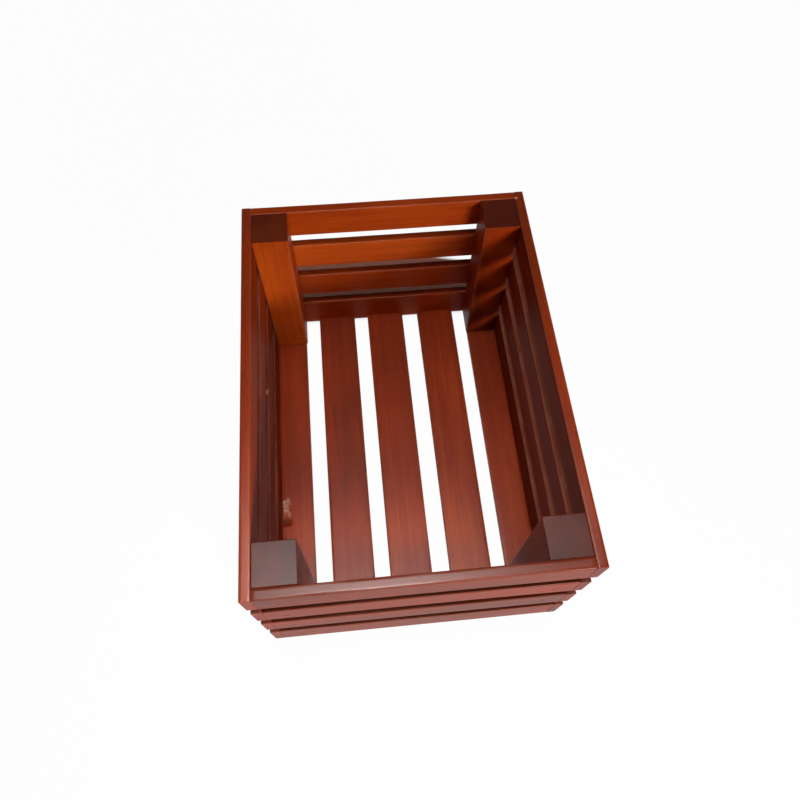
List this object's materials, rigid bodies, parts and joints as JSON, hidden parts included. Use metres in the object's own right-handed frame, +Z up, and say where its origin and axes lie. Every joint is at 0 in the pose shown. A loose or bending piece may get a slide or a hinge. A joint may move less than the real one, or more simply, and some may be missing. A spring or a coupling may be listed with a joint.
{
  "type": "slatted wooden storage box",
  "caption": "Open rectangular storage crate: spaced wooden slats fixed to square corner posts over a floor of spaced boards, stained dark red-brown, for keeping and carrying small goods.",
  "frame": {"origin": "centre of the base, on the underside of the floor boards and the bottom slats", "axes": "+Z up out of the open top, +Y from the short front wall to the short back wall, +X to the right"},
  "size_m": [0.2, 0.27, 0.1386],
  "materials": {
    "wall_slats": "dark red-brown stain under satin lacquer",
    "corner_posts": "dark red-brown stain under satin lacquer, end grain on top",
    "floor_boards": "dark red-brown stain under satin lacquer",
    "brads": "dull steel, stained over with the wood"
  },
  "bodies": {
    "root": {"front_slat_1": "wall_slats", "front_slat_2": "wall_slats", "front_slat_3": "wall_slats", "front_slat_4": "wall_slats", "right_slat_1": "wall_slats", "right_slat_2": "wall_slats", "right_slat_3": "wall_slats", "right_slat_4": "wall_slats", "back_slat_1": "wall_slats", "back_slat_2": "wall_slats", "back_slat_3": "wall_slats", "back_slat_4": "wall_slats", "left_slat_1": "wall_slats", "left_slat_2": "wall_slats", "left_slat_3": "wall_slats", "left_slat_4": "wall_slats", "front_left_post": "corner_posts", "front_right_post": "corner_posts", "back_left_post": "corner_posts", "back_right_post": "corner_posts", "floor_board_1": "floor_boards", "floor_board_2": "floor_boards", "floor_board_3": "floor_boards", "floor_board_4": "floor_boards", "floor_board_5": "floor_boards", "front_brad_1_left": "brads", "front_brad_1_right": "brads", "front_brad_2_left": "brads", "front_brad_2_right": "brads", "front_brad_3_left": "brads", "front_brad_3_right": "brads", "front_brad_4_left": "brads", "front_brad_4_right": "brads", "right_brad_1_front": "brads", "right_brad_1_back": "brads", "right_brad_2_front": "brads", "right_brad_2_back": "brads", "right_brad_3_front": "brads", "right_brad_3_back": "brads", "right_brad_4_front": "brads", "right_brad_4_back": "brads", "back_brad_1_left": "brads", "back_brad_1_right": "brads", "back_brad_2_left": "brads", "back_brad_2_right": "brads", "back_brad_3_left": "brads", "back_brad_3_right": "brads", "back_brad_4_left": "brads", "back_brad_4_right": "brads", "left_brad_1_front": "brads", "left_brad_1_back": "brads", "left_brad_2_front": "brads", "left_brad_2_back": "brads", "left_brad_3_front": "brads", "left_brad_3_back": "brads", "left_brad_4_front": "brads", "left_brad_4_back": "brads"}
  },
  "joints": []
}
